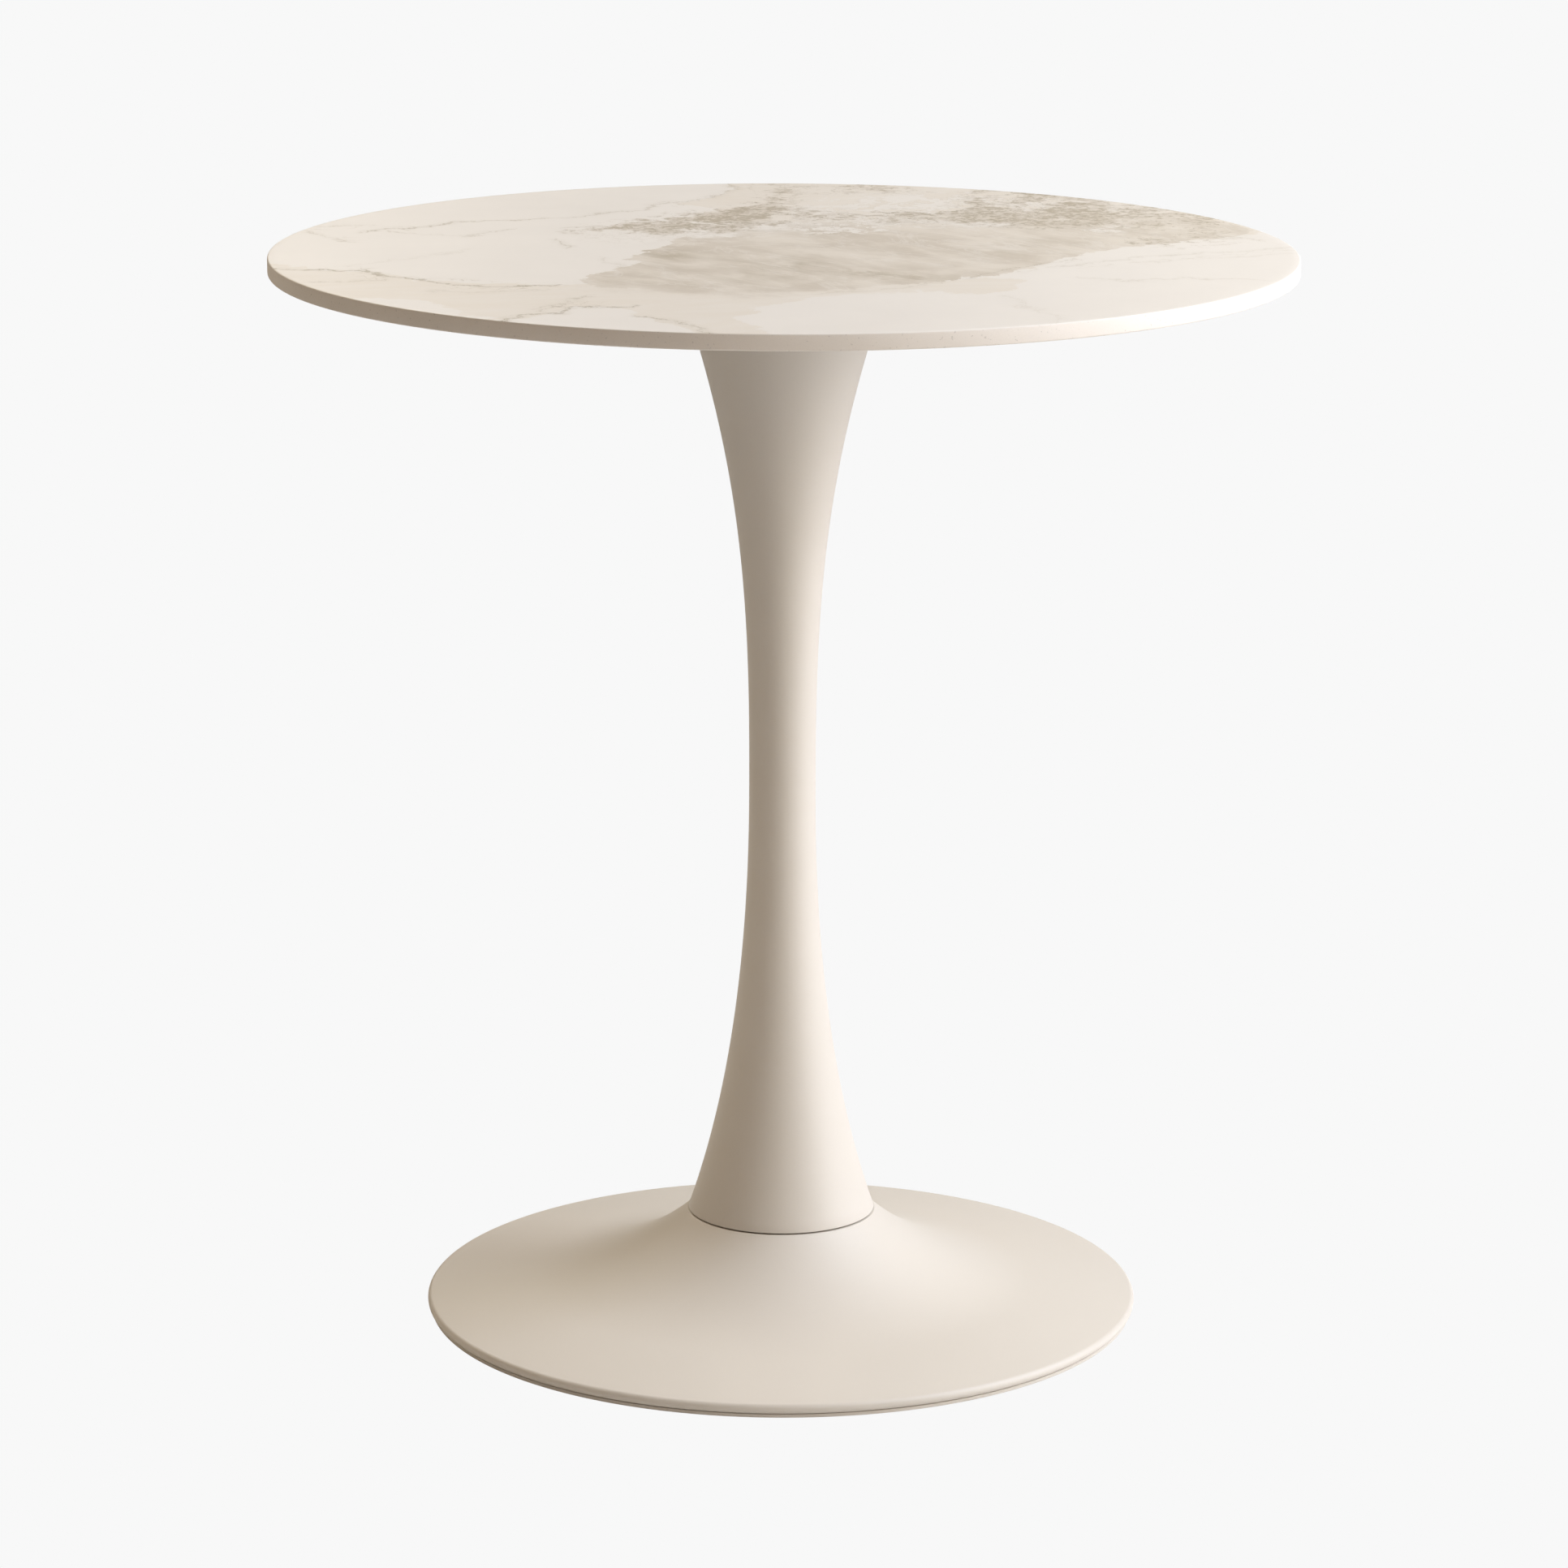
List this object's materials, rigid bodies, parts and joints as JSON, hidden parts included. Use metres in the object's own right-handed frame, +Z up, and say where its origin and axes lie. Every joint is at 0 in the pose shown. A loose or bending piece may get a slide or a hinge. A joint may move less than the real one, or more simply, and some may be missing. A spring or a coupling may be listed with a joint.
{
  "type": "round pedestal table",
  "caption": "Round pedestal table: a thin stone top on a slim column flared at both ends, over a wide domed base with levelling glides.",
  "frame": {"origin": "on the floor, under the middle of the table", "axes": "+Z up along the column's axis; +X runs through the locating pin"},
  "size_m": [0.7, 0.7, 0.75],
  "materials": {
    "stone": "honed sintered stone, warm off-white with grey-beige clouds and thin veins",
    "powder_coat": "fine satin powder coat, warm beige",
    "black_coat": "matt black powder coat",
    "ballast_iron": "rough grey casting, primed",
    "steel": "turned mild steel, oiled",
    "zinc_steel": "bright zinc plate",
    "brass": "turned brass",
    "rubber": "matt black rubber",
    "nylon": "moulded black nylon, matt"
  },
  "bodies": {
    "table": {"tabletop": "stone", "threaded_insert_1": "brass", "threaded_insert_2": "brass", "threaded_insert_3": "brass", "threaded_insert_4": "brass", "threaded_insert_5": "brass", "threaded_insert_6": "brass", "top_cushion_1": "rubber", "top_cushion_2": "rubber", "top_cushion_3": "rubber", "top_cushion_4": "rubber", "top_cushion_5": "rubber", "top_cushion_6": "rubber", "top_plate": "black_coat", "top_screw_1": "zinc_steel", "top_screw_2": "zinc_steel", "top_screw_3": "zinc_steel", "top_screw_4": "zinc_steel", "top_screw_5": "zinc_steel", "top_screw_6": "zinc_steel", "column_shell": "powder_coat", "column_head": "steel", "head_screw_1": "zinc_steel", "head_screw_2": "zinc_steel", "head_screw_3": "zinc_steel", "head_screw_4": "zinc_steel", "column_foot": "steel", "tie_rod": "zinc_steel", "tie_washer": "zinc_steel", "spring_washer": "zinc_steel", "tie_nut": "zinc_steel", "base_cover": "powder_coat", "base_hub": "steel", "hub_bolt_1": "zinc_steel", "hub_bolt_2": "zinc_steel", "hub_bolt_3": "zinc_steel", "hub_bolt_4": "zinc_steel", "locating_pin": "steel", "ballast_disc": "ballast_iron", "base_plate": "powder_coat", "plate_screw_1": "zinc_steel", "plate_screw_2": "zinc_steel", "plate_screw_3": "zinc_steel", "plate_screw_4": "zinc_steel"},
    "glide_pad_1": {"glide_pad_1": "nylon"},
    "glide_pad_2": {"glide_pad_2": "nylon"},
    "glide_pad_3": {"glide_pad_3": "nylon"},
    "glide_pad_4": {"glide_pad_4": "nylon"},
    "glide_stud_1": {"glide_stud_1": "zinc_steel"},
    "glide_stud_2": {"glide_stud_2": "zinc_steel"},
    "glide_stud_3": {"glide_stud_3": "zinc_steel"},
    "glide_stud_4": {"glide_stud_4": "zinc_steel"}
  },
  "joints": [
    {"name": "foot_lift_1", "type": "slide", "parent": "table", "child": "glide_pad_1", "axis": [0, 0, -1], "range_m": [0, 0.008]},
    {"name": "stud_turn_1", "type": "hinge", "parent": "glide_pad_1", "child": "glide_stud_1", "pos_m": [0.11632, 0.11632, 0], "axis": [0, 0, -1], "range_deg": [0, 2304]},
    {"name": "foot_lift_2", "type": "slide", "parent": "table", "child": "glide_pad_2", "axis": [0, 0, -1], "range_m": [0, 0.008]},
    {"name": "stud_turn_2", "type": "hinge", "parent": "glide_pad_2", "child": "glide_stud_2", "pos_m": [-0.11632, 0.11632, 0], "axis": [0, 0, -1], "range_deg": [0, 2304]},
    {"name": "foot_lift_3", "type": "slide", "parent": "table", "child": "glide_pad_3", "axis": [0, 0, -1], "range_m": [0, 0.008]},
    {"name": "stud_turn_3", "type": "hinge", "parent": "glide_pad_3", "child": "glide_stud_3", "pos_m": [-0.11632, -0.11632, 0], "axis": [0, 0, -1], "range_deg": [0, 2304]},
    {"name": "foot_lift_4", "type": "slide", "parent": "table", "child": "glide_pad_4", "axis": [0, 0, -1], "range_m": [0, 0.008]},
    {"name": "stud_turn_4", "type": "hinge", "parent": "glide_pad_4", "child": "glide_stud_4", "pos_m": [0.11632, -0.11632, 0], "axis": [0, 0, -1], "range_deg": [0, 2304]}
  ],
  "couplings": [
    {"joint": "stud_turn_1", "follows": "foot_lift_1", "rad_per_m": 5026.5},
    {"joint": "stud_turn_2", "follows": "foot_lift_2", "rad_per_m": 5026.5},
    {"joint": "stud_turn_3", "follows": "foot_lift_3", "rad_per_m": 5026.5},
    {"joint": "stud_turn_4", "follows": "foot_lift_4", "rad_per_m": 5026.5}
  ]
}
